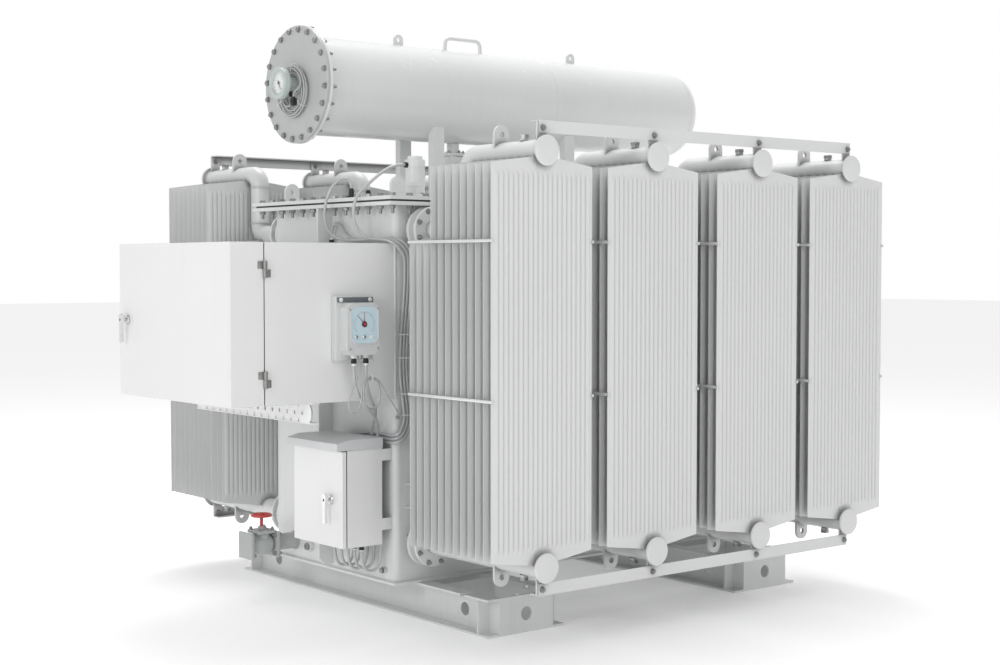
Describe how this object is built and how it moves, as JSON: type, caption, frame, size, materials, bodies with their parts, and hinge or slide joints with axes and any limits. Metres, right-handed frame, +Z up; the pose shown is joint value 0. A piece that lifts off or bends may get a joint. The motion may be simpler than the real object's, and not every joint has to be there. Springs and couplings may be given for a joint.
{
  "type": "oil-filled power transformer",
  "caption": "Oil-immersed power transformer on skids, with panel radiators, a cylindrical oil conservator, a cable box, a control cabinet and gauges.",
  "frame": {"origin": "on the ground, at the centre of the two cross skids and of their foundation bolts", "axes": "+X along the tank, away from the cable box; -Y is the near side with the indicator; +Z up"},
  "size_m": [3.2309, 2.68, 2.654],
  "materials": {
    "pale_paint": "semi-gloss pale grey oil-resistant paint over welded steel",
    "radiator_paint": "semi-gloss pale grey flow-coated paint",
    "skid_paint": "semi-gloss mid grey paint over rolled steel",
    "box_paint": "satin pale grey paint over folded sheet",
    "hood_paint": "satin mid grey paint",
    "gasket_cork": "matt nitrile-cork sheet",
    "galvanised_steel": "bright zinc",
    "gauge_casing": "satin pale grey-green casting",
    "black_plastic": "moulded black nylon",
    "chrome_plate": "polished chrome",
    "indicator_grey": "satin blue-grey paint",
    "indicator_blue": "satin pale blue-grey paint",
    "valve_casting": "painted grey casting",
    "red_paint": "glossy red paint on a cast wheel",
    "hose_grey": "smooth grey sheath",
    "gauge_cable": "grey flexible sheath",
    "capillary_steel": "braided steel armour"
  },
  "bodies": {
    "transformer": {"tank_body": "pale_paint", "tank_rim": "pale_paint", "tank_cover": "pale_paint", "tank_ribs": "pale_paint", "header_lugs": "pale_paint", "tie_bars_near": "pale_paint", "tie_bars_far": "pale_paint", "conservator_shell": "pale_paint", "conservator_cover": "pale_paint", "conservator_head": "pale_paint", "conservator_supports": "pale_paint", "conservator_handle": "pale_paint", "conservator_pipe": "pale_paint", "lifting_lugs": "pale_paint", "radiator_valves": "pale_paint", "tank_wall_fittings": "pale_paint", "cable_clips": "pale_paint", "pressure_relief_device": "pale_paint", "radiator_near_1": "radiator_paint", "header_near_1": "radiator_paint", "radiator_near_2": "radiator_paint", "header_near_2": "radiator_paint", "radiator_near_3": "radiator_paint", "header_near_3": "radiator_paint", "radiator_near_4": "radiator_paint", "header_near_4": "radiator_paint", "radiator_far_1": "radiator_paint", "header_far_1": "radiator_paint", "radiator_far_2": "radiator_paint", "header_far_2": "radiator_paint", "radiator_far_3": "radiator_paint", "header_far_3": "radiator_paint", "radiator_far_4": "radiator_paint", "header_far_4": "radiator_paint", "skid_left": "skid_paint", "skid_right": "skid_paint", "cover_gasket": "gasket_cork", "radiator_strips": "galvanised_steel", "oil_level_gauge": "gauge_casing", "cover_sensor_heads": "black_plastic", "cable_box": "box_paint", "cable_box_rail": "box_paint", "control_box": "box_paint", "control_box_hood": "hood_paint", "indicator_back_box": "indicator_grey", "indicator_case": "indicator_blue", "drain_valve": "valve_casting", "control_cables": "hose_grey", "gauge_cable_coil": "gauge_cable", "gauge_cable_lead": "gauge_cable", "gauge_cable_plug": "black_plastic", "capillary_coil": "capillary_steel", "capillary_loop": "capillary_steel", "capillary_lead": "capillary_steel"},
    "cable_box_door": {"cable_box_door": "box_paint"},
    "cable_box_handle": {"cable_box_handle": "chrome_plate"},
    "control_box_door": {"control_box_door": "box_paint"},
    "control_box_handle": {"control_box_handle": "chrome_plate"},
    "drain_handwheel": {"drain_handwheel": "red_paint"}
  },
  "joints": [
    {"name": "cable_box_door_hinge", "type": "hinge", "parent": "transformer", "child": "cable_box_door", "pos_m": [-1.6995, -0.499, 1.296], "axis": [0, 0, 1], "range_deg": [0, 120]},
    {"name": "cable_box_handle_turn", "type": "hinge", "parent": "cable_box_door", "child": "cable_box_handle", "pos_m": [-1.87, 0.414, 1.296], "axis": [-1, 0, 0], "range_deg": [0, 90]},
    {"name": "control_box_door_hinge", "type": "hinge", "parent": "transformer", "child": "control_box_door", "pos_m": [-1.2925, -0.075, 0.548], "axis": [0, 0, -1], "range_deg": [0, 110]},
    {"name": "control_box_handle_turn", "type": "hinge", "parent": "control_box_door", "child": "control_box_handle", "pos_m": [-1.33, -0.377, 0.542], "axis": [1, 0, 0], "range_deg": [0, 90]},
    {"name": "drain_handwheel_turn", "type": "hinge", "parent": "transformer", "child": "drain_handwheel", "pos_m": [-1.24, 0.322, 0.384], "axis": [0, 0, 1], "range_deg": [0, 1890]}
  ]
}
